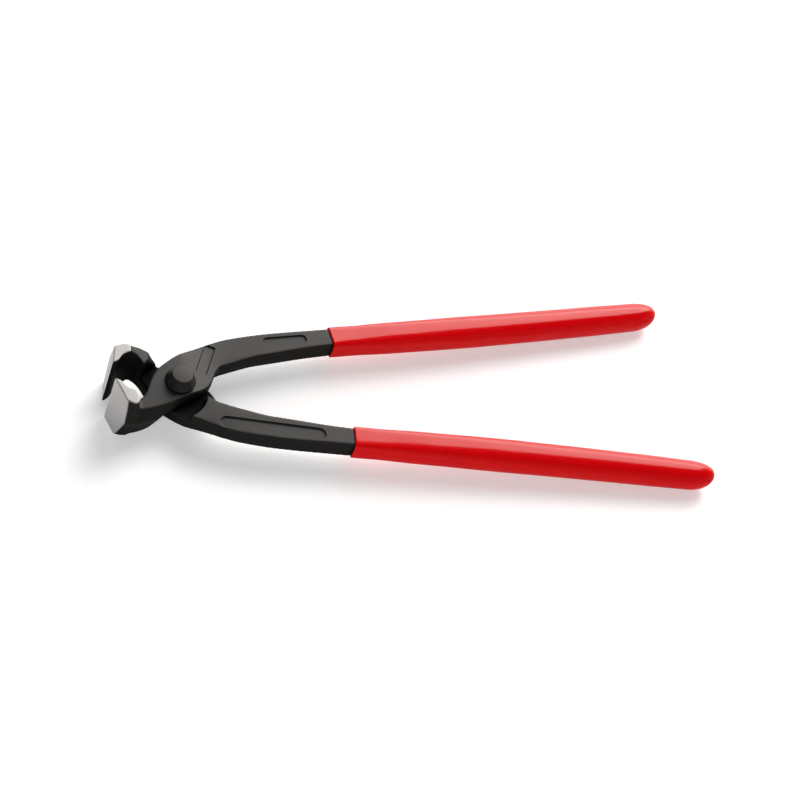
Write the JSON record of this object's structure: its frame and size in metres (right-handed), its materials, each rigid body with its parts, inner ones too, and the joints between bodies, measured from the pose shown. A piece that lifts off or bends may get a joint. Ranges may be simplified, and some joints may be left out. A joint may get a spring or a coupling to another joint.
{
  "type": "steel fixer's nippers",
  "caption": "Steel fixer's nippers: crossed forged levers with wide end-cutting jaws on a cone-headed rivet pivot, and long handles with glossy red dipped grips.",
  "frame": {"origin": "middle of the rivet's lower head face, on the pivot axis", "axes": "+X from the jaws to the handles between both levers, +Z along the rivet to its upper head, +Y to the handle of the upper lever"},
  "size_m": [0.2757, 0.1066, 0.0276],
  "materials": {
    "phosphated_steel": "black phosphated, satin; ground bright at the cutting bevel and jaw ends",
    "rivet_steel": "dark steel, satin",
    "dipped_plastic": "red vinyl dip coating, glossy"
  },
  "bodies": {
    "upper_side": {"lever_upper": "phosphated_steel", "grip_upper": "dipped_plastic", "rivet": "rivet_steel"},
    "lower_side": {"lever_lower": "phosphated_steel", "grip_lower": "dipped_plastic"}
  },
  "joints": [
    {"name": "pivot", "type": "hinge", "parent": "upper_side", "child": "lower_side", "pos_m": [0, 0, 0], "axis": [0, 0, 1], "range_deg": [-30.4, 14.6]}
  ]
}
